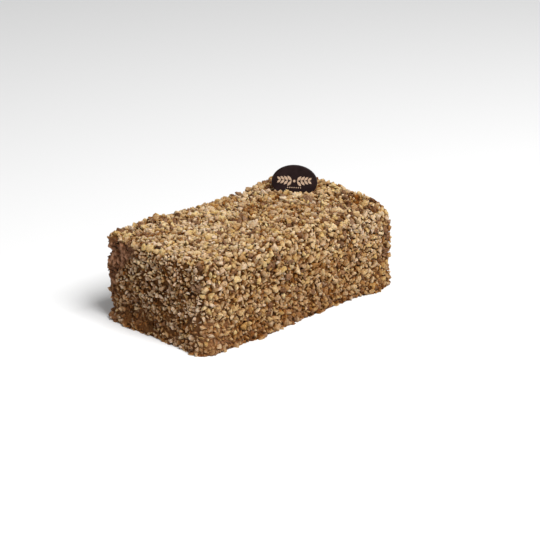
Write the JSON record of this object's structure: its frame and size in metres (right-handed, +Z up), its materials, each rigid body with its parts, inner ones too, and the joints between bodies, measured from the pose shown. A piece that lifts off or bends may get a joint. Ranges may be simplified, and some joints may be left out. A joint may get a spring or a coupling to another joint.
{
  "type": "crepe cake",
  "caption": "Loaf-shaped crepe cake coated all over in finely chopped walnuts, with a small oval chocolate plaque standing in its top.",
  "frame": {"origin": "on the surface the cake stands on, under the middle of its box", "axes": "+X along the cake towards the end with the plaque, +Y towards its back long side, +Z up"},
  "size_m": [0.1871, 0.1031, 0.0803],
  "materials": {
    "walnut_coat": "rough chopped walnuts, tan and golden with brown skins, set in brown cream",
    "chocolate": "dark chocolate with a soft satin gloss"
  },
  "bodies": {
    "root": {"cake": "walnut_coat", "plaque": "chocolate"}
  },
  "joints": []
}
